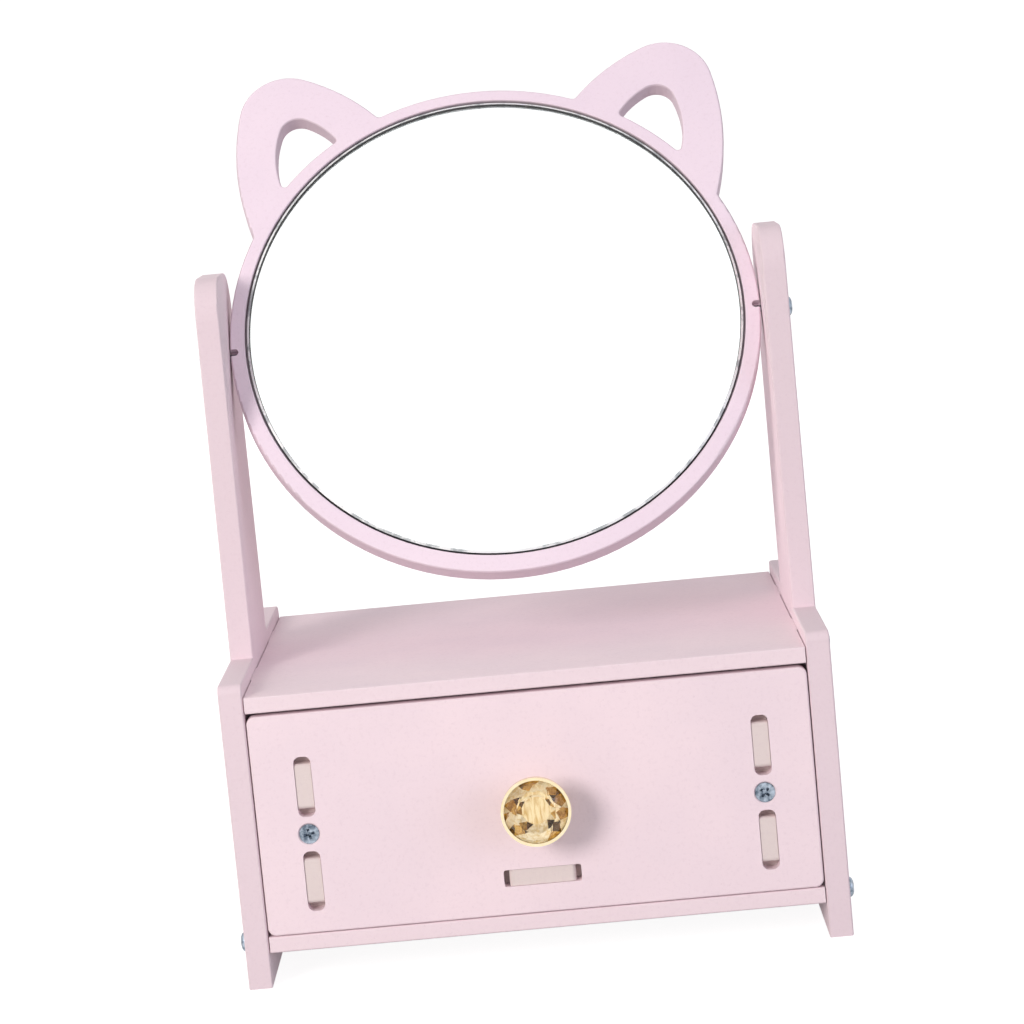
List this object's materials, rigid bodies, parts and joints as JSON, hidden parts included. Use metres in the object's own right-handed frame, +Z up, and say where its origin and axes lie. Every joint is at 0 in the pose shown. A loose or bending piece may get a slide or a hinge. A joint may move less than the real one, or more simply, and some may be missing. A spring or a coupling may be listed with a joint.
{
  "type": "makeup mirror with drawer",
  "caption": "Tabletop makeup mirror: a round mirror with rounded ears tilts between uprights over a small cabinet with a sliding drawer and a cut-stone knob.",
  "frame": {"origin": "middle of the overall box in X and Y, on the surface that the object stands on", "axes": "+X to the user's right as they face the mirror, +Y from the drawer's front to the back, +Z up"},
  "size_m": [0.229, 0.1944, 0.329],
  "materials": {
    "pink_board": "matte pale pink foamed board, coloured all through, with fine cut edges",
    "mirror_glass": "silvered float glass with a ground edge",
    "zinc_steel": "zinc plated, satin",
    "gold_plate": "polished pale gold plate",
    "amber_stone": "faceted champagne coloured clear resin with a mirrored back",
    "adhesive": "white foam tape sheet"
  },
  "bodies": {
    "cabinet": {"left_side_panel": "pink_board", "right_side_panel": "pink_board", "top_panel": "pink_board", "bottom_panel": "pink_board", "back_panel": "pink_board", "left_cabinet_screws": "zinc_steel", "right_cabinet_screws": "zinc_steel"},
    "drawer": {"drawer_front": "pink_board", "drawer_back": "pink_board", "drawer_left_wall": "pink_board", "drawer_right_wall": "pink_board", "drawer_floor": "pink_board", "drawer_front_screws": "zinc_steel", "drawer_back_screws": "zinc_steel", "knob_base": "gold_plate", "knob_crystal": "amber_stone", "knob_washer": "zinc_steel", "knob_screw": "zinc_steel"},
    "mirror": {"mirror_frame": "pink_board", "mirror_glass": "mirror_glass", "mirror_adhesive": "adhesive", "left_pivot_screw": "zinc_steel", "left_pivot_washer": "zinc_steel", "right_pivot_screw": "zinc_steel", "right_pivot_washer": "zinc_steel"}
  },
  "joints": [
    {"name": "drawer_slide", "type": "slide", "parent": "cabinet", "child": "drawer", "axis": [0, -1, 0], "range_m": [0, 0.125]},
    {"name": "mirror_tilt", "type": "hinge", "parent": "cabinet", "child": "mirror", "pos_m": [0, 0.01225, 0.2245], "axis": [1, 0, 0], "range_deg": [-134, 193]}
  ]
}
